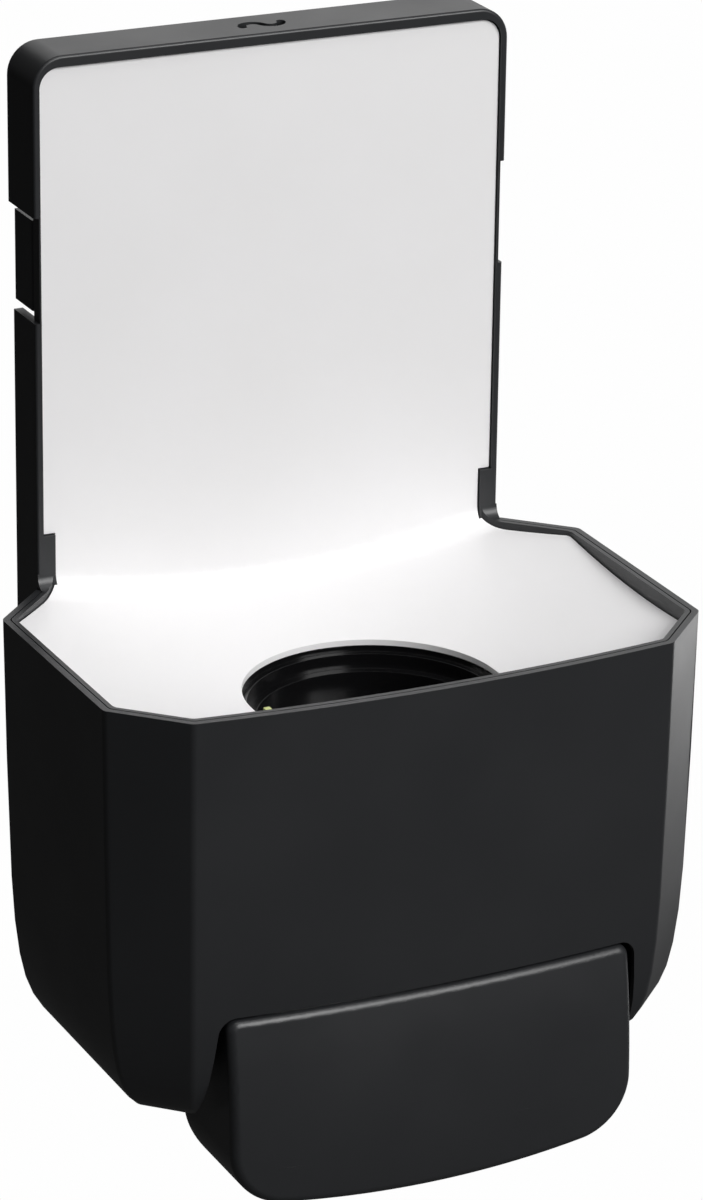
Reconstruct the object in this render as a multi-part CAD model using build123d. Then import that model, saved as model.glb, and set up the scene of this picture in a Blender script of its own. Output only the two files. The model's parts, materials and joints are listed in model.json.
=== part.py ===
from build123d import *
import math
import os

# Wall-mounted push soap dispenser with its refill taken out.
# X is to the right, Y points at the wall and Z is up. The wall is the plane y = 0
# and the rim of the front housing is the plane z = 0. All sizes are in millimetres.

# Tall back frame
FRAME_HALF = 69.7
FRAME_TOP = 147.9
FRAME_BOTTOM = -115.0
FRAME_FRONT = -18.0
FRAME_CORNER = 8.7
FRAME_WALL = 2.6
WEB_THICK = 2.5
LOWER_STANDOFF = 3.0
RIB_THICK = 1.8
RIB_REAR = -5.6
RIB_ZS = (-106.0, -55.0, -10.0, 35.0, 70.0, 111.0)

# White liner: upright panel that coves into a dished shelf
PANEL_HALF = 67.8
PANEL_TOP = 144.9
PANEL_CORNER = 5.7
PANEL_THICK = 2.5
PANEL_SETBACK = 1.0
PANEL_STEP_Z = 14.7
PANEL_LOW_HALF = 64.4
LINER_PLAY = 0.3
SHELF_THICK = 1.7
DISH_DEPTH = 16.0
DISH_SLOPE = 0.245
COVE_RADIUS = 8.0
COVE_RISE = 7.0

# Faceted front housing, plan of the rim
HOUSE_HALF = 87.0
HOUSE_FRONT = -121.8
BOW_RADIUS = 551.0
BOW_TURN = 8.0
HOUSE_REAR = -18.8
HOUSE_TAIL_STEP = 1.0
FRONT_CHAMFER = 17.5
HOUSE_EDGE_RADIUS = 3.0
HOUSE_WALL = 1.8
RIM_SEAM = 0.35
RIM_WALL = 1.3
RIM_DEPTH = 14.0
# Height against how far the wall has drawn in there
HOUSE_DRAFT = ((0.0, 0.0), (-40.0, 0.5), (-75.0, 1.3), (-88.0, 2.0), (-98.0, 3.1), (-105.0, 4.5),
               (-110.0, 6.3), (-114.0, 8.7), (-116.6, 11.2), (-118.0, 14.0))
HOUSE_BOTTOM = HOUSE_DRAFT[-1][0]
FLOW_RADIUS = 4.0

# Opening for the refill and the stepped collar under it
REFILL_Y = -84.0
OPENING_HALF = 35.5
OPENING_FRONT = -113.0
OPENING_CORNER = 10.0
COLLAR_STEP = 4.0
COLLAR_LEDGE = 1.5
COLLAR_FLANGE = 3.0
COLLAR_FLOOR_THICK = 2.0
COLLAR_TOP = -19.6
COLLAR_MID = -23.8
COLLAR_FLOOR = -32.0
COLLAR_BOTTOM = -48.0
COLLAR_WALL = 4.0
NECK_RADIUS = 24.0

# Push bar and its pivot
BAR_HALF = 59.6
BAR_TOP = -86.3
BAR_BOTTOM = -143.0
BAR_SIDE_BOTTOM = -138.5
BAR_CORNER = 17.0
BAR_TOP_CORNER = 3.6
BAR_WALL = 2.4
BAR_EDGE = 2.8
BAR_FACE_TOP = -124.4
BAR_FACE_MID = -128.1
BAR_MID_Z = -112.0
BAR_SKIRT_REAR = -96.7
BAR_SKIRT_Z = -121.0
BAR_SWEEP_Y = -102.5
BAR_SWEEP_Z = -135.0
BAR_TOE_Y = -115.5
BAR_LIP = 14.0
BAR_WEB_Z = -104.0
NOTCH_GAP = 0.8
NOTCH_TOP_HALF = 61.2
NOTCH_LOW_HALF = 64.0
NOTCH_REAR = -83.5
NOTCH_CORNER = 5.0
PIVOT_Y = -108.0
PIVOT_Z = -79.0
PIN_RADIUS = 2.5
RUNNING = 0.05
EAR_IN = 47.0
EAR_OUT = 53.0
EAR_RADIUS = 5.2
BOSS_IN = 56.5
BOSS_OUT = 62.0
ARM_TIP_Y = -78.0
ARM_TIP_Z = -98.2
ARM_ELBOW_Y = -98.0
ARM_ELBOW_Z = -100.0
ARM_RADIUS = 4.0

# Pump lifter on two guide rods
ROD_X = 46.0
ROD_Y = -62.0
ROD_RADIUS = 3.0
LIFTER_THICK = 4.2
LIFTER_REST_GAP = 0.3
LIFTER_BEAM_FRONT = -86.0
LIFTER_BEAM_REAR = -72.0
LIFTER_HALF = 56.0
LIFTER_BOSS_RADIUS = 6.5
LIFTER_BOSS_TOP = -84.0
STEM_RADIUS = 11.0
STEM_RING_RADIUS = 19.0
SHELF_ARM_TOP = -48.0
SHELF_ARM_THICK = 4.0
SHELF_ARM_HALF = 8.0
ARM_SCREW_OFF = 12.0
LUG_REAR = 17.0
SPRING_WIRE = 0.5
SPRING_RADIUS = 4.6
SPRING_TURNS = 8

# Base cover
BASE_INSET = 16.2
BASE_THICK = 2.2
BASE_FRONT = -103.0
BASE_TONGUE_HALF = 53.6
NOZZLE_RADIUS = 15.0
BASE_SCREW_MARGIN = 8.8
BASE_SCREW_YS = (-40.0, -76.0)

# Side release buttons
BUTTON_LOW = 77.2
BUTTON_HIGH = 102.4
BUTTON_GAP = 2.0
BUTTON_INSET = 1.5
BUTTON_THICK = 2.4
BUTTON_FRONT = -13.6
BUTTON_REAR = -0.6
BUTTON_TRAVEL = 1.8
BUTTON_STEM_Z = 90.0
BUTTON_STEM_TALL = 7.4
BUTTON_STEM_IN = 50.0
BUTTON_STEM_FRONT = -9.4

# Wall plate behind the frame
PLATE_HALF = 60.0
PLATE_LOW = -95.0
PLATE_HIGH = 118.0
PLATE_THICK = 4.5
PLATE_CORNER = 6.0
WALL_HOLE_X = 40.0
WALL_HOLE_LOW = -70.0
WALL_HOLE_HIGH = 60.0
WALL_HOLE_RADIUS = 2.6

# Key lock behind the panel
KEY_Y = -9.0
KEY_SPAN = 12.0
KEY_WIDTH = 2.4
LOCK_HALF = 6.0
LOCK_LOW = 113.0
LOCK_HIGH = 140.0
LOCK_DEEP = 5.0
LOCK_SEAT_Z = 96.0
LOCK_SPRING_RADIUS = 1.9
LOCK_SPRING_WIRE = 0.35
LOCK_SPRING_TURNS = 6

# Refill latch in the collar
LATCH_WIDE = 7.4
LATCH_PLAY = 0.3
LATCH_NOSE = 4.0
LATCH_TOP = -17.6
LATCH_LOW = -28.0
LATCH_LONG = 13.0
LATCH_STANDOFF = 3.0
LATCH_GUIDE = 10.0

# Screws
SCREW_RADIUS = 1.4
SCREW_HEAD = 3.1
SCREW_HEAD_TALL = 2.0
SCREW_LONG = 16.0
SCREW_PLAY = 0.12
SCREW_BOSS = 3.9
HOUSE_SCREW_MARGIN = 4.9
HOUSE_SCREW_ZS = (-34.0, -96.0)

SEAT = 0.3
REACH = 200.0

# Rear facets run from the housing's widest line to just outside the frame
REAR_CHAMFER_Y = HOUSE_REAR - (HOUSE_HALF - FRAME_HALF - HOUSE_TAIL_STEP)
HOUSE_SCREW_X = PANEL_LOW_HALF - HOUSE_SCREW_MARGIN
BASE_SCREW_X = HOUSE_HALF - BASE_INSET - BASE_SCREW_MARGIN
PANEL_FACE = FRAME_FRONT + PANEL_SETBACK
PANEL_BACK = PANEL_FACE + PANEL_THICK
WEB_FRONT = PANEL_BACK + LINER_PLAY
WEB_BACK = WEB_FRONT + WEB_THICK
NOTCH_TOP = BAR_TOP + NOTCH_GAP
LIFTER_LOW = ARM_TIP_Z + ARM_RADIUS + LIFTER_REST_GAP
LIFTER_HIGH = LIFTER_LOW + LIFTER_THICK
SHELF_ARM_LOW = SHELF_ARM_TOP - SHELF_ARM_THICK
RIM_INSET = HOUSE_WALL + RIM_SEAM
LINER_INSET = RIM_INSET + RIM_WALL + LINER_PLAY
CUTOUT_LOW = BUTTON_LOW - BUTTON_GAP
CUTOUT_HIGH = BUTTON_HIGH + BUTTON_GAP
BUTTON_OUT = FRAME_HALF - BUTTON_INSET
BASE_TOP = HOUSE_BOTTOM + BASE_THICK


def block(x0, x1, y0, y1, z0, z1):
    centre = Pos((x0 + x1) / 2, (y0 + y1) / 2, (z0 + z1) / 2)
    return centre * Box(x1 - x0, y1 - y0, z1 - z0)


def front_prism(sketch, y_front, y_back):
    return extrude(Plane.XZ.offset(-y_back) * sketch, amount=y_back - y_front, dir=(0, -1, 0))


def side_prism(sketch, x_low, x_high):
    return extrude(Plane.YZ.offset(x_low) * sketch, amount=x_high - x_low, dir=(1, 0, 0))


def flat_prism(sketch, z_low, z_high):
    return extrude(Plane.XY.offset(z_low) * sketch, amount=z_high - z_low, dir=(0, 0, 1))


def post(x, y, z_low, z_high, radius):
    return Pos(x, y, (z_low + z_high) / 2) * Cylinder(radius, z_high - z_low)


def bar_x(x_low, x_high, y, z, radius):
    return Pos((x_low + x_high) / 2, y, z) * Rot(0, 90, 0) * Cylinder(radius, x_high - x_low)


def bar_y(x, y_low, y_high, z, radius):
    return Pos(x, (y_low + y_high) / 2, z) * Rot(90, 0, 0) * Cylinder(radius, y_high - y_low)


def both_sides(solid):
    return solid + mirror(solid, about=Plane.YZ)


def upright(half, low, high, top_corner, low_corner):
    # Rectangle in the X-Z plane with its own radii at the top and the bottom
    shape = Pos(0, (low + high) / 2) * Rectangle(2 * half, high - low)
    upper = shape.vertices().sort_by(Axis.Y)[-2:]
    shape = fillet(upper, radius=top_corner)
    lower = shape.vertices().sort_by(Axis.Y)[:2]
    return fillet(lower, radius=low_corner)


def bow_at(x):
    # How far the bowed front has fallen back at this distance from the middle
    return BOW_RADIUS - math.sqrt(BOW_RADIUS ** 2 - x ** 2)


def house_plan(inset, rear=HOUSE_REAR):
    # Rim outline drawn in by an equal amount on every facet; the rear line stays
    half = HOUSE_HALF - inset
    front = HOUSE_FRONT + inset
    slip = inset * (math.sqrt(2) - 1)
    side_front = HOUSE_FRONT + FRONT_CHAMFER + slip
    nose = HOUSE_HALF - FRONT_CHAMFER - slip
    side_rear = REAR_CHAMFER_Y - slip
    tail = half + side_rear - rear
    right = [(tail, rear), (half, side_rear), (half, side_front), (nose, front)]
    left = [(-x, y) for x, y in reversed(right)]
    bow = ThreePointArc(right[-1], (0, front - bow_at(nose)), left[0])
    shape = make_face([*Polyline(*right).edges(), bow, *Polyline(*left, right[0]).edges()])
    corners = [v for v in shape.vertices() if v.Y < rear - 1]
    return fillet(corners, radius=HOUSE_EDGE_RADIUS)


def house_body(extra, rear, over):
    # Solid bounded by the drafted outline, drawn in by extra and longer by over
    faces = []
    last = len(HOUSE_DRAFT) - 1
    for index, (height, draft) in enumerate(HOUSE_DRAFT):
        z = height + over * (index == 0) - over * (index == last)
        faces.append(Plane.XY.offset(z) * house_plan(draft + extra, rear))
    return loft([face.face() for face in faces], ruled=True)


def bar_notch(low=-REACH, front=-REACH):
    # Gap in the front facet that the push bar hangs in
    outline = Polygon((-NOTCH_TOP_HALF, NOTCH_TOP), (NOTCH_TOP_HALF, NOTCH_TOP),
                      (NOTCH_LOW_HALF, HOUSE_BOTTOM + 6), (NOTCH_LOW_HALF, low),
                      (-NOTCH_LOW_HALF, low), (-NOTCH_LOW_HALF, HOUSE_BOTTOM + 6), align=None)
    outline = fillet(outline.vertices().sort_by(Axis.Y)[-2:], radius=NOTCH_CORNER)
    return front_prism(outline, front, NOTCH_REAR)


def opening_plan(half):
    # Round at the back, straight towards the front
    depth = REFILL_Y - OPENING_FRONT + half - OPENING_HALF
    straight = Pos(0, REFILL_Y - depth / 2) * Rectangle(2 * half, depth)
    straight = fillet(straight.vertices().sort_by(Axis.Y)[:2], radius=OPENING_CORNER)
    back_half = Pos(0, REFILL_Y + half / 2) * Rectangle(2 * half, half)
    return straight + (Pos(0, REFILL_Y) * Circle(half) & back_half)


def dish_region(drop, face_y, cove):
    # Everything above the shelf and in front of the panel, with the cove between them
    top = PANEL_TOP + REACH
    rim_z = -DISH_DEPTH - drop
    profile = Polygon((0, rim_z), (OPENING_HALF, rim_z),
                      (OPENING_HALF + REACH, rim_z + DISH_SLOPE * REACH),
                      (OPENING_HALF + REACH, top), (0, top), align=None)
    cone = Pos(0, REFILL_Y) * revolve(Plane.XZ * profile, axis=Axis.Z)
    cone = cone & block(-REACH, REACH, -2 * REACH, face_y, -REACH, top - 1)
    near = (0, face_y, rim_z + DISH_SLOPE * (face_y - REFILL_Y - OPENING_HALF))
    meeting = cone.edges().sort_by_distance(near)[0]
    return fillet(meeting, radius=cove)


def back_liner():
    play = LINER_PLAY
    upper = upright(PANEL_HALF - play, PANEL_STEP_Z + play, PANEL_TOP - play, PANEL_CORNER - play, 0.4)
    low = block(-PANEL_LOW_HALF + play, PANEL_LOW_HALF - play, -60, PANEL_BACK, -40, PANEL_STEP_Z + 1)
    shelf = flat_prism(house_plan(LINER_INSET, PANEL_BACK), -40, COVE_RISE)
    shelf = shelf & block(-REACH, REACH, -REACH, FRAME_FRONT - play, -40, COVE_RISE)
    envelope = front_prism(upper, PANEL_FACE - 1, PANEL_BACK) + low + shelf
    skin = dish_region(SHELF_THICK, PANEL_BACK, COVE_RADIUS + PANEL_THICK)
    skin = skin - dish_region(0, PANEL_FACE, COVE_RADIUS)
    hole = flat_prism(opening_plan(OPENING_HALF), -60, 0)
    return envelope & skin - hole


def key_slot():
    radius = KEY_SPAN / 3
    rise = radius / 2
    left = ThreePointArc((-KEY_SPAN / 2, -rise / 2), (-KEY_SPAN / 4, rise), (0, 0))
    right = ThreePointArc((0, 0), (KEY_SPAN / 4, -rise), (KEY_SPAN / 2, rise / 2))
    shape = SlotArc(left, KEY_WIDTH) + SlotArc(right, KEY_WIDTH)
    return flat_prism(Pos(0, KEY_Y) * shape, PANEL_TOP, FRAME_TOP + 1)


def flow_block():
    # Hollow sweep from the face of the frame's leg down on to the rim
    outline = make_face([Line((FRAME_FRONT + 1, -1), (FRAME_FRONT + 1, FLOW_RADIUS)),
                         Line((FRAME_FRONT + 1, FLOW_RADIUS), (FRAME_FRONT, FLOW_RADIUS)),
                         RadiusArc((FRAME_FRONT, FLOW_RADIUS), (FRAME_FRONT - FLOW_RADIUS, 0), FLOW_RADIUS),
                         Line((FRAME_FRONT - FLOW_RADIUS, 0), (FRAME_FRONT - FLOW_RADIUS, -1)),
                         Line((FRAME_FRONT - FLOW_RADIUS, -1), (FRAME_FRONT + 1, -1))])
    solid = side_prism(outline, PANEL_LOW_HALF, FRAME_HALF)
    inside = flat_prism(house_plan(RIM_INSET + RIM_WALL, 0), -2, FLOW_RADIUS + 1)
    outside = flat_prism(house_plan(RIM_INSET, 0), -2, SEAT)
    return (solid - inside) & (outside + block(0, REACH, -REACH, 0, SEAT, REACH))


def rim_ring():
    outer = flat_prism(house_plan(RIM_INSET, FRAME_FRONT + 1), -RIM_DEPTH, 0)
    return outer - flat_prism(house_plan(RIM_INSET + RIM_WALL, 0), -RIM_DEPTH - 1, 1)


def shelf_arm():
    # Bracket that carries the collar and the head of a guide rod
    x0 = ROD_X - SHELF_ARM_HALF
    x1 = ROD_X + SHELF_ARM_HALF
    front = ROD_Y - SHELF_ARM_HALF
    arm = block(x0, x1, front, WEB_FRONT + 1, SHELF_ARM_LOW, SHELF_ARM_TOP)
    gusset = Polygon((WEB_FRONT + 1, SHELF_ARM_LOW), (ROD_Y + ARM_SCREW_OFF, SHELF_ARM_LOW),
                     (WEB_FRONT + 1, SHELF_ARM_LOW - 30), align=None)
    arm = arm + side_prism(gusset, ROD_X - RIB_THICK, ROD_X + RIB_THICK)
    arm = arm - post(ROD_X, ROD_Y, SHELF_ARM_LOW - 1, SHELF_ARM_TOP + 1, ROD_RADIUS + RUNNING)
    return arm - post(ROD_X, ROD_Y + ARM_SCREW_OFF, SHELF_ARM_LOW - 9, SHELF_ARM_TOP + 1, SCREW_RADIUS + SCREW_PLAY)


def frame_ribs():
    ribs = []
    for z in RIB_ZS:
        ribs.append(block(-FRAME_HALF + 1, FRAME_HALF - 1, WEB_BACK - 1, RIB_REAR, z, z + RIB_THICK))
    for x in (-30.0, 30.0):
        ribs.append(block(x - RIB_THICK / 2, x + RIB_THICK / 2, WEB_BACK - 1, RIB_REAR, -112, 70))
    seat = block(-LOCK_HALF - 3, LOCK_HALF + 3, WEB_BACK - 1, RIB_REAR, LOCK_SEAT_Z - 2, LOCK_SEAT_Z)
    ribs.append(seat)
    guide = block(LOCK_HALF + SEAT, LOCK_HALF + SEAT + RIB_THICK, WEB_BACK - 1, RIB_REAR, 104, 146)
    ribs.append(both_sides(guide))
    return ribs


def button_cutout():
    side = block(BUTTON_OUT - BUTTON_THICK - BUTTON_TRAVEL - SEAT, REACH,
                 BUTTON_FRONT - SEAT, 1, CUTOUT_LOW, CUTOUT_HIGH)
    lip = block(BUTTON_OUT + 0.1, REACH, -REACH, 1, CUTOUT_LOW, CUTOUT_HIGH)
    return both_sides(side + lip)


def back_frame():
    shell = front_prism(upright(FRAME_HALF, FRAME_BOTTOM, FRAME_TOP, FRAME_CORNER, 3), FRAME_FRONT, 0)
    front_edges = shell.edges().filter_by_position(Axis.Y, FRAME_FRONT - 0.1, FRAME_FRONT + 0.1)
    shell = fillet(front_edges, radius=0.8)
    wall = FRAME_WALL
    pocket = upright(PANEL_HALF, PANEL_STEP_Z, PANEL_TOP, PANEL_CORNER, 0.4)
    low = Pos(0, (FRAME_BOTTOM + wall + PANEL_STEP_Z) / 2)
    low = low * Rectangle(2 * PANEL_LOW_HALF, PANEL_STEP_Z - FRAME_BOTTOM - wall + 0.2)
    shell = shell - front_prism(pocket + low, FRAME_FRONT - 1, WEB_FRONT)
    rear = upright(FRAME_HALF - wall, FRAME_BOTTOM + wall, FRAME_TOP - wall, FRAME_CORNER - wall, 1)
    shell = shell - front_prism(rear, WEB_BACK, 1)
    shell = shell - block(-REACH, REACH, -LOWER_STANDOFF, 1, FRAME_BOTTOM - 1, CUTOUT_LOW)
    for rib in frame_ribs():
        shell = shell + rib
    lock_bay = block(-LOCK_HALF - SEAT, LOCK_HALF + SEAT, WEB_BACK, 1, LOCK_SEAT_Z, FRAME_TOP - wall)
    shell = shell - lock_bay + rim_ring() + both_sides(flow_block()) + both_sides(shelf_arm())
    shell = shell - button_cutout() - key_slot()
    for z in HOUSE_SCREW_ZS:
        shell = shell - both_sides(bar_y(HOUSE_SCREW_X, WEB_FRONT - 1, WEB_BACK + 1, z, SCREW_RADIUS + SCREW_PLAY))
    return shell


def house_bosses():
    bosses = []
    for z in HOUSE_SCREW_ZS:
        boss = bar_y(HOUSE_SCREW_X, -36, WEB_FRONT - SEAT, z, SCREW_BOSS)
        rib = block(HOUSE_SCREW_X, HOUSE_HALF, -36, HOUSE_REAR - 0.2, z - 1, z + 1)
        bosses.append(both_sides(boss + rib))
    for y in BASE_SCREW_YS:
        boss = post(BASE_SCREW_X, y, BASE_TOP + SEAT / 3, BASE_TOP + 18, SCREW_BOSS)
        rib = block(BASE_SCREW_X, HOUSE_HALF, y - 1, y + 1, BASE_TOP + SEAT, BASE_TOP + 18)
        bosses.append(both_sides(boss + rib))
    pivot = block(BOSS_IN, BOSS_OUT, HOUSE_FRONT, PIVOT_Y + EAR_RADIUS + 0.6,
                  NOTCH_TOP + 1.3, PIVOT_Z + EAR_RADIUS)
    bosses.append(both_sides(pivot))
    return bosses


def front_housing():
    outer = house_body(0, HOUSE_REAR, 0)
    inner = house_body(HOUSE_WALL, 0, 1)
    shell = outer - inner
    room = house_body(HOUSE_WALL / 2, 0, 0)
    for boss in house_bosses():
        shell = shell + (boss & room)
    for z in HOUSE_SCREW_ZS:
        shell = shell - both_sides(bar_y(HOUSE_SCREW_X, -34, 0, z, SCREW_RADIUS + SCREW_PLAY))
    for y in BASE_SCREW_YS:
        shell = shell - both_sides(post(BASE_SCREW_X, y, BASE_TOP - 1, BASE_TOP + 16, SCREW_RADIUS + SCREW_PLAY))
    shell = shell - both_sides(bar_x(BOSS_IN - 1, BOSS_OUT + 1, PIVOT_Y, PIVOT_Z, PIN_RADIUS + RUNNING))
    return shell - bar_notch()


def refill_collar():
    inner_step = opening_plan(OPENING_HALF - COLLAR_LEDGE)
    upper = flat_prism(opening_plan(OPENING_HALF + COLLAR_FLANGE) - inner_step, COLLAR_MID, COLLAR_TOP)
    seat = opening_plan(OPENING_HALF + COLLAR_FLANGE) - opening_plan(OPENING_HALF + SEAT)
    upper = upper + flat_prism(seat, COLLAR_TOP, -DISH_DEPTH - SHELF_THICK - SEAT)
    middle = flat_prism(opening_plan(OPENING_HALF), COLLAR_FLOOR - COLLAR_FLOOR_THICK, COLLAR_MID)
    middle = middle - flat_prism(opening_plan(OPENING_HALF - COLLAR_STEP), COLLAR_FLOOR, COLLAR_MID)
    neck = post(0, REFILL_Y, COLLAR_BOTTOM, COLLAR_FLOOR, NECK_RADIUS + COLLAR_WALL)
    lug = block(NECK_RADIUS - 6, ROD_X + SHELF_ARM_HALF, ROD_Y - SHELF_ARM_HALF, ROD_Y + LUG_REAR,
                SHELF_ARM_TOP, SHELF_ARM_TOP + SHELF_ARM_THICK)
    lug = lug - post(ROD_X, ROD_Y, COLLAR_BOTTOM - 9, 0, ROD_RADIUS + RUNNING)
    lug = lug - post(ROD_X, ROD_Y + ARM_SCREW_OFF, COLLAR_BOTTOM - 9, 0, SCREW_RADIUS + SCREW_PLAY)
    collar = upper + middle + neck + both_sides(lug)
    collar = collar - post(0, REFILL_Y, COLLAR_BOTTOM - 9, COLLAR_FLOOR + 1, NECK_RADIUS)
    half = LATCH_WIDE / 2 + LATCH_PLAY
    slot = block(-OPENING_HALF - LATCH_GUIDE + 1, -NECK_RADIUS, REFILL_Y - half, REFILL_Y + half,
                 LATCH_LOW - LATCH_PLAY, 0)
    guide = block(-OPENING_HALF - LATCH_GUIDE, -OPENING_HALF + 1, REFILL_Y - half - 2, REFILL_Y + half + 2,
                  LATCH_LOW - LATCH_PLAY - 2, COLLAR_MID)
    return collar + guide - slot


def refill_latch():
    half = LATCH_WIDE / 2
    nose_in = -NECK_RADIUS - LATCH_STANDOFF
    nose = Polygon((nose_in - LATCH_NOSE, LATCH_LOW), (nose_in - 1.2, LATCH_LOW), (nose_in, LATCH_LOW + 3),
                   (nose_in - 2.2, LATCH_TOP), (nose_in - LATCH_NOSE, LATCH_TOP), align=None)
    nose = extrude(Plane.XZ.offset(-REFILL_Y) * nose, amount=half, both=True)
    stem = block(nose_in - LATCH_LONG, nose_in - LATCH_NOSE + 0.1, REFILL_Y - half, REFILL_Y + half,
                 LATCH_LOW, COLLAR_MID)
    return nose + stem


def bar_front_plan(inset):
    # Front outline: straight sides, a crowned bottom edge and large lower corners
    half = BAR_HALF - inset
    top = BAR_TOP - inset
    side = BAR_SIDE_BOTTOM + inset
    low = BAR_BOTTOM + inset
    sides = Polyline((-half, side), (-half, top), (half, top), (half, side))
    crown = ThreePointArc((half, side), (0, low), (-half, side))
    shape = make_face([*sides.edges(), crown])
    lower = shape.vertices().sort_by(Axis.Y)[:2]
    shape = fillet(lower, radius=BAR_CORNER - inset)
    upper = shape.vertices().sort_by(Axis.Y)[-2:]
    return fillet(upper, radius=BAR_TOP_CORNER - inset)


def bar_side_body(inset, rear):
    # Middle section spun about the bow's upright axis: the face bows out both ways
    # and the skirt's rear edge sweeps forward to the bottom
    top = BAR_TOP + 1
    low = BAR_BOTTOM - 1
    face_top = BAR_FACE_TOP + inset
    face = BAR_FACE_MID + inset
    section = make_face([
        ThreePointArc((face_top, top), (face, BAR_MID_Z), (face, low)),
        Line((face, low), (BAR_TOE_Y, low)),
        ThreePointArc((BAR_TOE_Y, low), (BAR_SWEEP_Y, BAR_SWEEP_Z), (rear, BAR_SKIRT_Z)),
        Line((rear, BAR_SKIRT_Z), (rear, top)),
        Line((rear, top), (face_top, top)),
    ])
    axis = Axis((0, BAR_FACE_MID + BOW_RADIUS, 0), (0, 0, 1))
    return spin(Plane.YZ * section, axis)


def spin(face, axis):
    # Equal turns to both sides of the middle plane
    turned = face.rotate(axis, -BOW_TURN)
    return revolve(turned, axis=axis, revolution_arc=2 * BOW_TURN)


def capsule(y0, z0, r0, y1, z1, r1, x_low, x_high):
    # Two round ends joined by their tangent sides
    first = Pos(y0, z0) * Circle(r0)
    last = Pos(y1, z1) * Circle(r1)
    return side_prism(make_hull(first.edges() + last.edges()), x_low, x_high)


def push_bar():
    outer = front_prism(bar_front_plan(0), -140, -80) & bar_side_body(0, BAR_SKIRT_REAR)
    face = outer.faces().sort_by(Axis.Y)[0]
    lower = [e for e in face.edges() if e.center().Z < BAR_TOP - 2]
    outer = fillet(lower, radius=BAR_EDGE)
    hollow = front_prism(bar_front_plan(BAR_WALL), -140, -60)
    inner = hollow & bar_side_body(BAR_WALL, BAR_SKIRT_REAR)
    inner = inner + front_prism(bar_front_plan(BAR_WALL), PIVOT_Y - 10, -60)
    inside = BAR_HALF - BAR_WALL
    inner = inner + block(-inside, inside, BAR_FACE_TOP + BAR_LIP, -60, BAR_TOP - BAR_TOP_CORNER, BAR_TOP + 1)
    shell = outer - inner
    upper = capsule(PIVOT_Y, PIVOT_Z, EAR_RADIUS, ARM_ELBOW_Y, ARM_ELBOW_Z, ARM_RADIUS, EAR_IN, EAR_OUT)
    lower = capsule(ARM_ELBOW_Y, ARM_ELBOW_Z, ARM_RADIUS, ARM_TIP_Y, ARM_TIP_Z, ARM_RADIUS, EAR_IN, EAR_OUT)
    mid_wall = BAR_WALL / 2 + bow_at(EAR_OUT)
    web = Polygon((BAR_FACE_TOP + mid_wall, BAR_TOP - 4), (BAR_FACE_MID + mid_wall + 0.8, BAR_WEB_Z),
                  (PIVOT_Y + 4, BAR_WEB_Z), (PIVOT_Y + 4, BAR_TOP - 4), align=None)
    arm = upper + lower + side_prism(web, EAR_IN, EAR_OUT)
    arm = arm - bar_x(EAR_IN - 1, EAR_OUT + 1, PIVOT_Y, PIVOT_Z, PIN_RADIUS + RUNNING)
    return shell + both_sides(arm)


def hinge_pin():
    pin = bar_x(EAR_IN - 1.5, BOSS_OUT + 0.5, PIVOT_Y, PIVOT_Z, PIN_RADIUS)
    return chamfer(pin.edges().filter_by(GeomType.CIRCLE), length=0.5)


def pivot_bush():
    bush = bar_x(EAR_OUT + 0.15, BOSS_IN - 0.15, PIVOT_Y, PIVOT_Z, EAR_RADIUS - 0.6)
    return bush - bar_x(EAR_OUT, BOSS_IN, PIVOT_Y, PIVOT_Z, PIN_RADIUS + RUNNING)


def guide_rod():
    rod = post(ROD_X, ROD_Y, BASE_TOP + 1, SHELF_ARM_TOP + 6, ROD_RADIUS)
    return chamfer(rod.edges().filter_by(GeomType.CIRCLE), length=0.6)


def helix_spring(x, y, z_low, z_high, radius, wire, turns):
    # One unbroken round wire from the lower seat to the upper one
    rise = z_high - z_low - 2 * wire
    pitch = rise / turns
    path = Pos(x, y, z_low + wire) * Helix(pitch, rise, radius)
    start = path @ 0
    section = Plane(origin=start, z_dir=path % 0) * Circle(wire)
    print("spring gap between turns", round(pitch - 2 * wire, 2))
    return sweep(section, path=path)


def pump_lifter():
    beam = block(-LIFTER_HALF, LIFTER_HALF, LIFTER_BEAM_FRONT, LIFTER_BEAM_REAR, LIFTER_LOW, LIFTER_HIGH)
    ring = post(0, REFILL_Y, LIFTER_LOW, LIFTER_HIGH, STEM_RING_RADIUS)
    link = block(ROD_X - 5, ROD_X + 5, LIFTER_BEAM_REAR - 1, ROD_Y, LIFTER_LOW, LIFTER_HIGH)
    boss = post(ROD_X, ROD_Y, LIFTER_LOW, LIFTER_BOSS_TOP, LIFTER_BOSS_RADIUS)
    rib = block(STEM_RING_RADIUS - 2, LIFTER_HALF - 3, LIFTER_BEAM_REAR - RIB_THICK, LIFTER_BEAM_REAR,
                LIFTER_LOW, LIFTER_BOSS_TOP)
    solid = beam + ring + both_sides(link + boss + rib)
    solid = solid - post(0, REFILL_Y, LIFTER_LOW - 1, LIFTER_HIGH + 9, STEM_RADIUS)
    return solid - both_sides(post(ROD_X, ROD_Y, LIFTER_LOW - 1, LIFTER_BOSS_TOP + 1, ROD_RADIUS + RUNNING))


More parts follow.
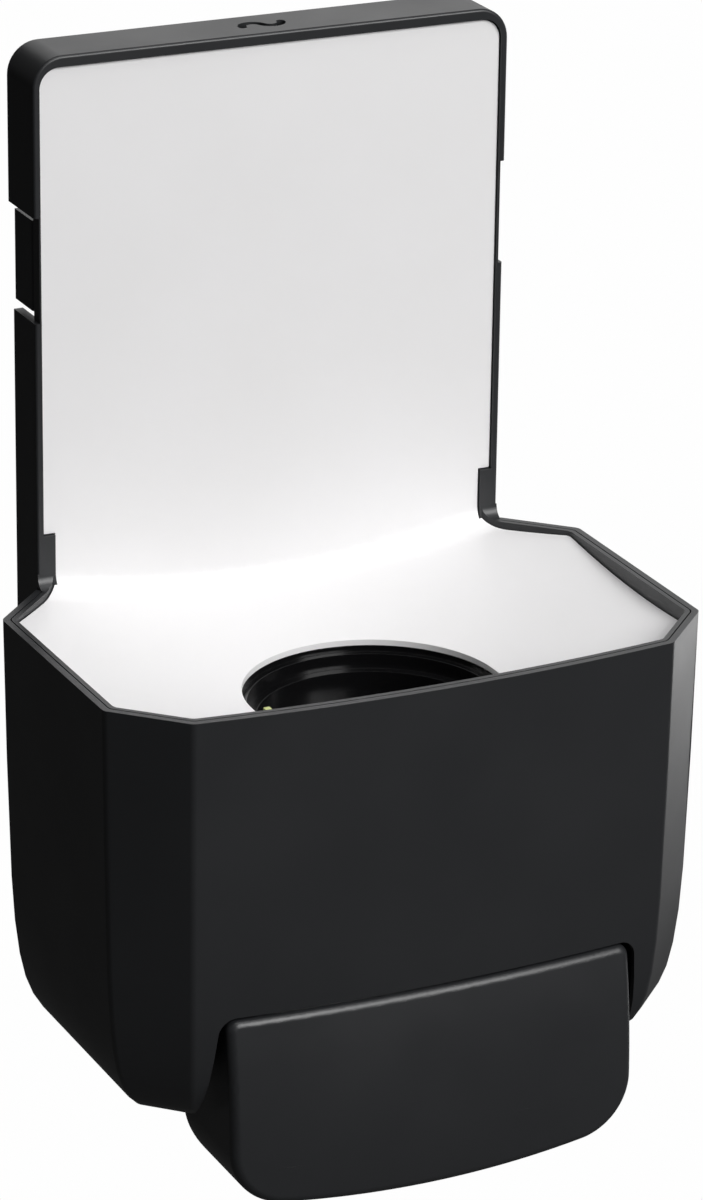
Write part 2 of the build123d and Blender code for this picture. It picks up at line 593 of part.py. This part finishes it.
def base_cover():
    plate = flat_prism(house_plan(BASE_INSET, HOUSE_REAR - SEAT), HOUSE_BOTTOM, BASE_TOP)
    plate = plate - block(-REACH, REACH, -REACH, BASE_FRONT, -REACH, 0)
    side = block(BASE_TONGUE_HALF, NOTCH_LOW_HALF, -REACH, NOTCH_REAR, -REACH, 0)
    plate = plate - both_sides(side)
    plate = plate - both_sides(block(NOTCH_LOW_HALF - 1, REACH, -REACH, NOTCH_REAR, -REACH, 0))
    lip = post(0, REFILL_Y, HOUSE_BOTTOM, BASE_TOP + 3, NOZZLE_RADIUS + 2)
    plate = plate + lip - post(0, REFILL_Y, HOUSE_BOTTOM - 1, BASE_TOP + 4, NOZZLE_RADIUS)
    cup = post(ROD_X, ROD_Y, BASE_TOP, BASE_TOP + 8, ROD_RADIUS + 2.4)
    cup = cup - post(ROD_X, ROD_Y, BASE_TOP + 0.9, BASE_TOP + 9, ROD_RADIUS + RUNNING)
    plate = plate + both_sides(cup)
    for y in BASE_SCREW_YS:
        plate = plate - both_sides(post(BASE_SCREW_X, y, HOUSE_BOTTOM - 1, BASE_TOP + 1, SCREW_RADIUS + SCREW_PLAY))
    return plate


def side_button():
    plate = block(BUTTON_OUT - BUTTON_THICK, BUTTON_OUT, BUTTON_FRONT, BUTTON_REAR, BUTTON_LOW, BUTTON_HIGH)
    corner = [e for e in plate.edges().filter_by(Axis.Z) if e.center().X > BUTTON_OUT - 1]
    plate = fillet([e for e in corner if e.center().Y < BUTTON_FRONT + 1], radius=1.6)
    half = BUTTON_STEM_TALL / 2
    stem = block(BUTTON_STEM_IN, BUTTON_OUT - 1, BUTTON_STEM_FRONT, -PLATE_THICK - SEAT,
                 BUTTON_STEM_Z - half, BUTTON_STEM_Z + half)
    hook = block(BUTTON_STEM_IN, BUTTON_STEM_IN + 3, BUTTON_STEM_FRONT, -PLATE_THICK - SEAT,
                 BUTTON_STEM_Z - half - 2.5, BUTTON_STEM_Z + half)
    return plate + stem + hook


def wall_plate():
    plate = front_prism(upright(PLATE_HALF, PLATE_LOW, PLATE_HIGH, PLATE_CORNER, PLATE_CORNER), -PLATE_THICK, 0)
    window = upright(22, 12, 52, 4, 4)
    plate = plate - front_prism(window, -PLATE_THICK - 1, 1)
    plate = plate - front_prism(upright(22, -62, -22, 4, 4), -PLATE_THICK - 1, 1)
    for x in (-WALL_HOLE_X, WALL_HOLE_X):
        for z in (WALL_HOLE_LOW, WALL_HOLE_HIGH):
            plate = plate - bar_y(x, -PLATE_THICK - 1, 1, z, WALL_HOLE_RADIUS)
    half = BUTTON_STEM_TALL / 2
    high = BUTTON_STEM_Z + half + SEAT
    rail = block(BUTTON_STEM_IN + 4, PLATE_HALF, BUTTON_STEM_FRONT, -PLATE_THICK + 0.1, high, high + RIB_THICK)
    under = BUTTON_STEM_Z - half - SEAT
    rail = rail + block(BUTTON_STEM_IN + 6, PLATE_HALF, BUTTON_STEM_FRONT, -PLATE_THICK + 0.1,
                        under - RIB_THICK, under)
    hook = block(18, 26, WEB_BACK + 0.6, -PLATE_THICK + 0.1, 111.0 - SEAT - 4, 111.0 - SEAT)
    return plate + both_sides(rail + hook)


def lock_slide():
    y_back = -PLATE_THICK - SEAT
    body = block(-LOCK_HALF, LOCK_HALF, y_back - LOCK_DEEP, y_back, LOCK_LOW, LOCK_HIGH)
    corners = body.edges().filter_by(Axis.Y)
    body = fillet(corners, radius=1.2)
    middle = y_back - LOCK_DEEP / 2
    return body - block(-3, 3, middle - 3, middle + 3, LOCK_LOW + 8, LOCK_LOW + 16)


def cap_screw(radius, head, long):
    # Head on top of z = 0 and shank below it
    shank = Pos(0, 0, -long / 2) * Cylinder(radius, long)
    cap = Pos(0, 0, SCREW_HEAD_TALL / 2) * Cylinder(head, SCREW_HEAD_TALL)
    cap = fillet(cap.edges().sort_by(Axis.Z)[-1], radius=0.8)
    slot = Pos(0, 0, SCREW_HEAD_TALL) * (Box(0.9, 2.6, 1.4) + Box(2.6, 0.9, 1.4))
    return shank + cap - slot


def screws(places):
    return Compound([place * cap_screw(SCREW_RADIUS, SCREW_HEAD, SCREW_LONG) for place in places])


def house_screw_places():
    face = WEB_BACK
    return [Pos(x, face, z) * Rot(-90, 0, 0) for x in (-HOUSE_SCREW_X, HOUSE_SCREW_X) for z in HOUSE_SCREW_ZS]


def base_screw_places():
    return [Pos(x, y, HOUSE_BOTTOM) * Rot(180, 0, 0) for x in (-BASE_SCREW_X, BASE_SCREW_X) for y in BASE_SCREW_YS]


def collar_screw_places():
    return [Pos(x, ROD_Y + ARM_SCREW_OFF, SHELF_ARM_TOP + SHELF_ARM_THICK) for x in (-ROD_X, ROD_X)]


def left(solid):
    return mirror(solid, about=Plane.YZ)


def lock_spring():
    middle = -PLATE_THICK - SEAT - LOCK_DEEP / 2
    return helix_spring(0, middle, LOCK_SEAT_Z, LOCK_LOW, LOCK_SPRING_RADIUS, LOCK_SPRING_WIRE, LOCK_SPRING_TURNS)


def lifter_spring(side):
    return helix_spring(side * ROD_X, ROD_Y, LIFTER_BOSS_TOP, SHELF_ARM_LOW, SPRING_RADIUS, SPRING_WIRE, SPRING_TURNS)


def main():
    os.makedirs("parts", exist_ok=True)
    parts = {
        "back_frame": back_frame(),
        "back_liner": back_liner(),
        "front_housing": front_housing(),
        "refill_collar": refill_collar(),
        "refill_latch": refill_latch(),
        "push_bar": push_bar(),
        "hinge_pin_left": left(hinge_pin()),
        "hinge_pin_right": hinge_pin(),
        "pivot_bush_left": left(pivot_bush()),
        "pivot_bush_right": pivot_bush(),
        "pump_lifter": pump_lifter(),
        "guide_rod_left": left(guide_rod()),
        "guide_rod_right": guide_rod(),
        "lifter_spring_left": lifter_spring(-1),
        "lifter_spring_right": lifter_spring(1),
        "base_cover": base_cover(),
        "side_button_left": left(side_button()),
        "side_button_right": side_button(),
        "wall_plate": wall_plate(),
        "lock_slide": lock_slide(),
        "lock_spring": lock_spring(),
        "housing_screws": screws(house_screw_places()),
        "base_screws": screws(base_screw_places()),
        "collar_screws": screws(collar_screw_places()),
    }
    for name, solid in parts.items():
        export_step(solid, os.path.join("parts", name + ".step"))
    return parts


if __name__ == "__main__":
    main()
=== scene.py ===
# %% [markdown]
# # Push soap dispenser, dressed and lit
# The dispenser hangs on a wall. Its tall dark frame holds a white liner, and a faceted
# housing below hides the pump and carries the push bar. The solids already have their
# real size and place, so this lesson gives them soft moulded edges, true plastics and a
# plain studio.

# %% Load the fixed frame
import json
import math

import bpy
from mathutils import Matrix, Vector

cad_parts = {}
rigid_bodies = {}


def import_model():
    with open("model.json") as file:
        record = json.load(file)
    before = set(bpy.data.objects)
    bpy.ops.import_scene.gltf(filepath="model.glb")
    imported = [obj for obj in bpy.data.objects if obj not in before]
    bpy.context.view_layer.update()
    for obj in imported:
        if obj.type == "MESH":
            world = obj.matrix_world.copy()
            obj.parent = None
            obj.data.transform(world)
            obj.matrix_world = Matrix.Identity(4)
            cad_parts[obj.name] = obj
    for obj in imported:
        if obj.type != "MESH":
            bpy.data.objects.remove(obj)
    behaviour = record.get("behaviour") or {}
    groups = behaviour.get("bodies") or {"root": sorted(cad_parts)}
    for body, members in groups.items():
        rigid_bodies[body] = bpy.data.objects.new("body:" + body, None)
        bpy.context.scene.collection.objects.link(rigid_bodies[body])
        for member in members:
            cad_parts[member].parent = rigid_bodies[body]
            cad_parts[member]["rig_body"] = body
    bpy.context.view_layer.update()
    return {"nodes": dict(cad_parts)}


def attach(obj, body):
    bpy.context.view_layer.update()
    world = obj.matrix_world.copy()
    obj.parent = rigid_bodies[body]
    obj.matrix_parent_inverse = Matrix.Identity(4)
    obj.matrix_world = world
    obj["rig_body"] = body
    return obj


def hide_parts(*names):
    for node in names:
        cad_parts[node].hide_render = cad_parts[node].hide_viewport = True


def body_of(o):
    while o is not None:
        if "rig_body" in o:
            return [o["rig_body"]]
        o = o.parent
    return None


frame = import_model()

MM = 0.001

# %% [markdown]
# ## Colours
# Plastics are chosen from chips, whose values are sRGB. Blender's shaders want linear
# light, so one function turns a hex value into linear numbers. The curve is straight in
# the darkest tones and a power above them.

# %% Colour helper
TOE_END = 0.04045
TOE_SLOPE = 12.92
CURVE_SHIFT = 0.055
CURVE_POWER = 2.4


def chip(code):
    values = [int(code[i:i + 2], 16) / 255 for i in (0, 2, 4)]
    linear = [value / TOE_SLOPE if value <= TOE_END
              else ((value + CURVE_SHIFT) / (1 + CURVE_SHIFT)) ** CURVE_POWER
              for value in values]
    return (*linear, 1.0)


print("middle grey chip", chip("808080"))

# %% [markdown]
# ## Building a material
# Each finish is a small node tree. One helper adds any node with its settings and its
# links, so a material reads as a short list of what the surface is made of. The two Mix
# nodes have several sockets of one name, so those are picked by their numbers.

# %% Node helper
MIX_FACTOR, MIX_FIRST, MIX_SECOND, MIX_RESULT = 0, 6, 7, 2
SHADER_FACTOR, SHADER_FIRST, SHADER_SECOND = 0, 1, 2


def add(tree, kind, settings=None, **links):
    node = tree.nodes.new(kind)
    for name, value in (settings or {}).items():
        if hasattr(node, name) and name not in node.inputs:
            setattr(node, name, value)
        else:
            node.inputs[name].default_value = value
    for name, source in links.items():
        tree.links.new(source, node.inputs[name.replace("_", " ")])
    return node


def start_material(name):
    material = bpy.data.materials.new(name)
    material.use_nodes = True
    tree = material.node_tree
    shader = tree.nodes["Principled BSDF"]
    place = add(tree, "ShaderNodeTexCoord").outputs["Object"]
    return material, tree, shader, place


print("colour mix sockets", MIX_FIRST, "and", MIX_SECOND)

# %% [markdown]
# ## Graphite ABS, spark-eroded
# The frame, the housing and the push bar are injection-moulded ABS. The mould is
# spark-eroded, which leaves a fine even grain that breaks the gloss into a satin. The
# real grain is about 0.2 mm and would be lost in the picture, so it is drawn at 0.45 mm.
# Large shots of plastic also cool unevenly, so the gloss drifts a little over
# centimetres. The grain is noise in the bump, and the drift is slow noise in roughness.

# %% Graphite ABS
GRAIN_MM = 0.45
DRIFT_MM = 38.0
GRAIN_SOFTNESS = {"Detail": 2.0, "Roughness": 0.6}
DRIFT_SOFTNESS = {"Detail": 3.0, "Roughness": 0.5}
DRIFT_LOW, DRIFT_HIGH = 0.3, 0.7
GRAIN_STRENGTH = 0.5
ABS_IOR = 1.54


def moulded_plastic(name, colour, shade, rough, grain_mm, depth_mm, ior=ABS_IOR):
    material, tree, shader, place = start_material(name)
    grain = add(tree, "ShaderNodeTexNoise", {"Scale": 1 / (grain_mm * MM), **GRAIN_SOFTNESS},
                Vector=place)
    drift = add(tree, "ShaderNodeTexNoise", {"Scale": 1 / (DRIFT_MM * MM), **DRIFT_SOFTNESS},
                Vector=place)
    tone = add(tree, "ShaderNodeMix", {"data_type": "RGBA"})
    tone.inputs[MIX_FIRST].default_value = chip(colour)
    tone.inputs[MIX_SECOND].default_value = chip(shade)
    tree.links.new(drift.outputs["Fac"], tone.inputs[MIX_FACTOR])
    gloss = add(tree, "ShaderNodeMapRange", {"From Min": DRIFT_LOW, "From Max": DRIFT_HIGH,
                                             "To Min": rough[0], "To Max": rough[1]},
                Value=drift.outputs["Fac"])
    bump = add(tree, "ShaderNodeBump", {"Strength": GRAIN_STRENGTH, "Distance": depth_mm * MM},
               Height=grain.outputs["Fac"])
    tree.links.new(tone.outputs[MIX_RESULT], shader.inputs["Base Color"])
    tree.links.new(gloss.outputs["Result"], shader.inputs["Roughness"])
    tree.links.new(bump.outputs["Normal"], shader.inputs["Normal"])
    shader.inputs["IOR"].default_value = ior
    return material


graphite = moulded_plastic("graphite_abs_spark_eroded", "222325", "262729",
                           rough=(0.36, 0.43), grain_mm=GRAIN_MM, depth_mm=0.02)
print("material", graphite.name)

# %% [markdown]
# ## The other mouldings
# The liner is white high-impact styrene with a finer, glossier skin, so that a spill
# wipes off. The collar and the base cover are unpainted black ABS, shinier where the
# tool was polished. The latch is pale green acetal, a slippery plastic for moving parts.

# %% Other plastics
STYRENE_IOR = 1.55
ACETAL_IOR = 1.48
white_liner = moulded_plastic("white_styrene_semi_gloss", "EDECEC", "F1F0F1",
                              rough=(0.34, 0.40), grain_mm=0.35, depth_mm=0.008, ior=STYRENE_IOR)
black_collar = moulded_plastic("black_abs_polished", "0C0C0D", "101011",
                               rough=(0.16, 0.24), grain_mm=0.8, depth_mm=0.006)
black_matt = moulded_plastic("black_abs_matt", "151516", "1B1B1C",
                             rough=(0.5, 0.58), grain_mm=GRAIN_MM, depth_mm=0.02)
green_latch = moulded_plastic("pale_green_acetal", "D6DE8C", "CAD37E",
                              rough=(0.3, 0.36), grain_mm=0.6, depth_mm=0.006, ior=ACETAL_IOR)
natural = moulded_plastic("natural_acetal", "DAD8CE", "D2D0C5",
                          rough=(0.32, 0.38), grain_mm=0.6, depth_mm=0.006, ior=ACETAL_IOR)
print("plastics", white_liner.name, black_collar.name, black_matt.name, green_latch.name,
      natural.name)

# %% [markdown]
# ## Zinc-plated steel
# Pins, rods, springs and screws are drawn steel with a thin zinc coat. Drawing leaves
# faint lines along the wire, and the coat has small cloudy patches, so roughness takes
# both a stretched and a cloudy noise. To the eye that is a soft grey sheen with streaks.

# %% Zinc-plated steel
WIRE_LINE_MM = 0.5
WIRE_STRETCH = (1.0, 1.0, 0.08)
CLOUD_MM = 4
STREAK_LOW, STREAK_HIGH = 0.1, 0.5
ZINC_SMOOTH, ZINC_ROUGH = 0.22, 0.42


def plated_steel():
    material, tree, shader, place = start_material("zinc_plated_steel")
    stretch = add(tree, "ShaderNodeMapping", {"Scale": WIRE_STRETCH}, Vector=place)
    lines = add(tree, "ShaderNodeTexNoise", {"Scale": 1 / (WIRE_LINE_MM * MM), "Detail": 2.0},
                Vector=stretch.outputs["Vector"])
    cloud = add(tree, "ShaderNodeTexNoise", {"Scale": 1 / (CLOUD_MM * MM), "Detail": 3.0},
                Vector=place)
    blend = add(tree, "ShaderNodeMath", {"operation": "MULTIPLY"})
    tree.links.new(lines.outputs["Fac"], blend.inputs[0])
    tree.links.new(cloud.outputs["Fac"], blend.inputs[1])
    gloss = add(tree, "ShaderNodeMapRange", {"From Min": STREAK_LOW, "From Max": STREAK_HIGH,
                                             "To Min": ZINC_SMOOTH, "To Max": ZINC_ROUGH},
                Value=blend.outputs["Value"])
    tone = add(tree, "ShaderNodeMix", {"data_type": "RGBA"})
    tone.inputs[MIX_FIRST].default_value = chip("B9BBBD")
    tone.inputs[MIX_SECOND].default_value = chip("A7A9A8")
    tree.links.new(cloud.outputs["Fac"], tone.inputs[MIX_FACTOR])
    tree.links.new(tone.outputs[MIX_RESULT], shader.inputs["Base Color"])
    tree.links.new(gloss.outputs["Result"], shader.inputs["Roughness"])
    shader.inputs["Metallic"].default_value = 1.0
    return material


steel = plated_steel()
print("material", steel.name)

# %% [markdown]
# ## Which piece wears which finish
# A table keeps the choice in one place. Every node gets its finish in all its slots.

# %% Dress the nodes
FINISHES = {
    "back_frame": graphite, "front_housing": graphite, "push_bar": graphite,
    "side_button_left": graphite, "side_button_right": graphite,
    "back_liner": white_liner, "refill_collar": black_collar, "refill_latch": green_latch,
    "base_cover": black_matt, "wall_plate": black_matt, "lock_slide": black_matt,
    "pump_lifter": natural, "pivot_bush_left": natural, "pivot_bush_right": natural,
}


def wear(piece, material):
    piece.data.materials.clear()
    piece.data.materials.append(material)


for node, piece in frame["nodes"].items():
    wear(piece, FINISHES.get(node, steel))
print("dressed", len(frame["nodes"]), "nodes")

# %% [markdown]
# ## Soft edges
# No moulded edge is truly sharp: the tool's corners are worn and polished to a radius of
# a few tenths of a millimetre, and that thin line is what catches the light. The solid's
# mesh is loose triangles, so a copy is merged, its flat faces are joined again, and a
# bevel that only takes sharp edges rounds them. The copy then stands for the solid.

# %% Round the moulded edges
MERGE_MM = 0.004
FLAT_DEGREES = 0.6
SHARP_DEGREES = 28.0
EDGE_SEGMENTS = 2
EDGE_MM = {"back_frame": 0.35, "front_housing": 0.3, "push_bar": 0.3, "back_liner": 0.3,
           "refill_collar": 0.35}


def only(piece):
    bpy.ops.object.select_all(action="DESELECT")
    piece.select_set(True)
    bpy.context.view_layer.objects.active = piece


def soften(node, radius_mm):
    source = frame["nodes"][node]
    piece = source.copy()
    piece.data = source.data.copy()
    piece.name = node + "_moulded"
    bpy.context.scene.collection.objects.link(piece)
    only(piece)
    bpy.ops.object.mode_set(mode="EDIT")
    bpy.ops.mesh.select_all(action="SELECT")
    bpy.ops.mesh.remove_doubles(threshold=MERGE_MM * MM)
    bpy.ops.mesh.dissolve_limited(angle_limit=math.radians(FLAT_DEGREES))
    bpy.ops.object.mode_set(mode="OBJECT")
    bevel = piece.modifiers.new("worn_edges", "BEVEL")
    bevel.width = radius_mm * MM
    bevel.segments = EDGE_SEGMENTS
    bevel.limit_method = "ANGLE"
    bevel.angle_limit = math.radians(SHARP_DEGREES)
    bevel.use_clamp_overlap = True
    bevel.miter_outer = "MITER_ARC"
    bpy.ops.object.modifier_apply(modifier=bevel.name)
    bpy.ops.object.shade_smooth_by_angle(angle=math.radians(SHARP_DEGREES))
    weighted = piece.modifiers.new("even_shading", "WEIGHTED_NORMAL")
    weighted.keep_sharp = True
    bpy.ops.object.modifier_apply(modifier=weighted.name)
    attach(piece, body_of(source)[0])
    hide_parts(node)
    print(piece.name, len(piece.data.polygons), "faces")


for node, radius in EDGE_MM.items():
    soften(node, radius)

# %% [markdown]
# ## Studio floor
# The catalogue background is plain white, yet the dark facets mirror almost nothing.
# Photographers get both with a white sweep for the lens and black cards around the
# object. The floor does the same: the camera sees it white, while every other ray meets
# a dark card, so that no pale floor is mirrored in the graphite.

# %% Studio floor
FLOOR_Z = -0.42
FLOOR_WIDE = 24.0
CARD_FIBRE_MM = 30
CARD_ROUGHNESS = 0.9


def floor_material():
    material, tree, shader, place = start_material("white_sweep_and_black_card")
    shader.inputs["Roughness"].default_value = CARD_ROUGHNESS
    fibre = add(tree, "ShaderNodeTexNoise", {"Scale": 1 / (CARD_FIBRE_MM * MM), "Detail": 2.0},
                Vector=place)
    card = add(tree, "ShaderNodeMix", {"data_type": "RGBA"})
    card.inputs[MIX_FIRST].default_value = chip("4A4A4A")
    card.inputs[MIX_SECOND].default_value = chip("525252")
    tree.links.new(fibre.outputs["Fac"], card.inputs[MIX_FACTOR])
    tree.links.new(card.outputs[MIX_RESULT], shader.inputs["Base Color"])
    sweep = add(tree, "ShaderNodeEmission", {"Color": chip("FEFEFE"), "Strength": 1.0})
    path = add(tree, "ShaderNodeLightPath")
    mix = add(tree, "ShaderNodeMixShader")
    tree.links.new(path.outputs["Is Camera Ray"], mix.inputs[SHADER_FACTOR])
    tree.links.new(shader.outputs["BSDF"], mix.inputs[SHADER_FIRST])
    tree.links.new(sweep.outputs["Emission"], mix.inputs[SHADER_SECOND])
    tree.links.new(mix.outputs["Shader"], tree.nodes["Material Output"].inputs["Surface"])
    return material


bpy.ops.mesh.primitive_plane_add(size=FLOOR_WIDE, location=(0, 0, FLOOR_Z))
floor = bpy.context.active_object
floor.name = "studio_floor"
wear(floor, floor_material())
print("floor at", FLOOR_Z, "m,", FLOOR_WIDE, "m wide")

# %% [markdown]
# ## Studio light
# A large soft box in front, to the right and above lights the white liner evenly, and a
# weak one overhead brings up the shelf. The bright right facets and the bright rim are
# mirror images at a shallow angle, so two more weak boxes stand where those mirrors
# look: low at the right, and high behind. The left stays dark.

# %% Studio light
AIM = Vector((0.0, -0.06, 0.0))


def soft_box(name, place, width, height, watts):
    bpy.ops.object.light_add(type="AREA", location=place)
    lamp = bpy.context.active_object
    lamp.name = name
    lamp.data.shape = "RECTANGLE"
    lamp.data.size = width
    lamp.data.size_y = height
    lamp.data.energy = watts
    lamp.rotation_euler = (AIM - Vector(place)).to_track_quat("-Z", "Y").to_euler()
    print("soft box", name, watts, "W")


soft_box("front_key", place=(0.6, -1.55, 1.05), width=1.2, height=1.0, watts=36.0)
soft_box("overhead", place=(0.05, -0.35, 1.5), width=1.0, height=0.7, watts=5.5)
soft_box("right_mirror_card", place=(0.95, 0.42, -0.2), width=0.8, height=0.7, watts=5.0)
soft_box("back_mirror_card", place=(0.6, 1.3, 0.62), width=1.4, height=0.9, watts=4.0)

# %% [markdown]
# ## World
# The space beyond the floor follows the floor's rule: white for the lens, and only a
# trace of white fill for every other ray.

# %% World
WORLD_FILL = 0.06
world = bpy.data.worlds.new("studio_world")
bpy.context.scene.world = world
world.use_nodes = True
sky = world.node_tree
surround = sky.nodes["Background"]
surround.inputs["Color"].default_value = chip("FFFFFF")
surround.inputs["Strength"].default_value = WORLD_FILL
sweep = add(sky, "ShaderNodeBackground", {"Color": chip("FEFEFE"), "Strength": 1.0})
rays = add(sky, "ShaderNodeLightPath")
choose = add(sky, "ShaderNodeMixShader")
sky.links.new(rays.outputs["Is Camera Ray"], choose.inputs[SHADER_FACTOR])
sky.links.new(surround.outputs["Background"], choose.inputs[SHADER_FIRST])
sky.links.new(sweep.outputs["Background"], choose.inputs[SHADER_SECOND])
sky.links.new(choose.outputs["Shader"], sky.nodes["World Output"].inputs["Surface"])
print("world", world.name, "with fill", WORLD_FILL)

# %% [markdown]
# ## Camera
# The view was solved from the straight edges in the photograph: the camera stands well
# back to the left with a long lens and looks down by about 21 degrees.

# %% Camera
CAMERA_YAW = math.radians(25.83)
CAMERA_PITCH = math.radians(21.37)
CAMERA_ROLL = math.radians(0.79)
CAMERA_DISTANCE = 1.40385
CAMERA_RIGHT = 0.02249
CAMERA_UP = -0.01356
CAMERA_TARGET = Vector((0.0, -0.017, 0.0))
LENS_MM = 152.28
CLIP_END = 50.0


def place_camera():
    level = Vector((math.sin(CAMERA_YAW), math.cos(CAMERA_YAW), 0))
    side = Vector((math.cos(CAMERA_YAW), -math.sin(CAMERA_YAW), 0))
    up = Vector((0, 0, 1))
    ahead = level * math.cos(CAMERA_PITCH) - up * math.sin(CAMERA_PITCH)
    top = up * math.cos(CAMERA_PITCH) + level * math.sin(CAMERA_PITCH)
    right = side * math.cos(CAMERA_ROLL) + top * math.sin(CAMERA_ROLL)
    above = top * math.cos(CAMERA_ROLL) - side * math.sin(CAMERA_ROLL)
    spot = CAMERA_TARGET - ahead * CAMERA_DISTANCE + right * CAMERA_RIGHT + above * CAMERA_UP
    bpy.ops.object.camera_add()
    camera = bpy.context.active_object
    camera.data.lens = LENS_MM
    camera.data.clip_end = CLIP_END
    axes = Matrix((right, above, -ahead)).transposed()
    camera.matrix_world = Matrix.Translation(spot) @ axes.to_4x4()
    bpy.context.scene.camera = camera
    print("camera stands at", tuple(round(value, 3) for value in spot))


place_camera()
bpy.context.scene.view_settings.view_transform = "Standard"
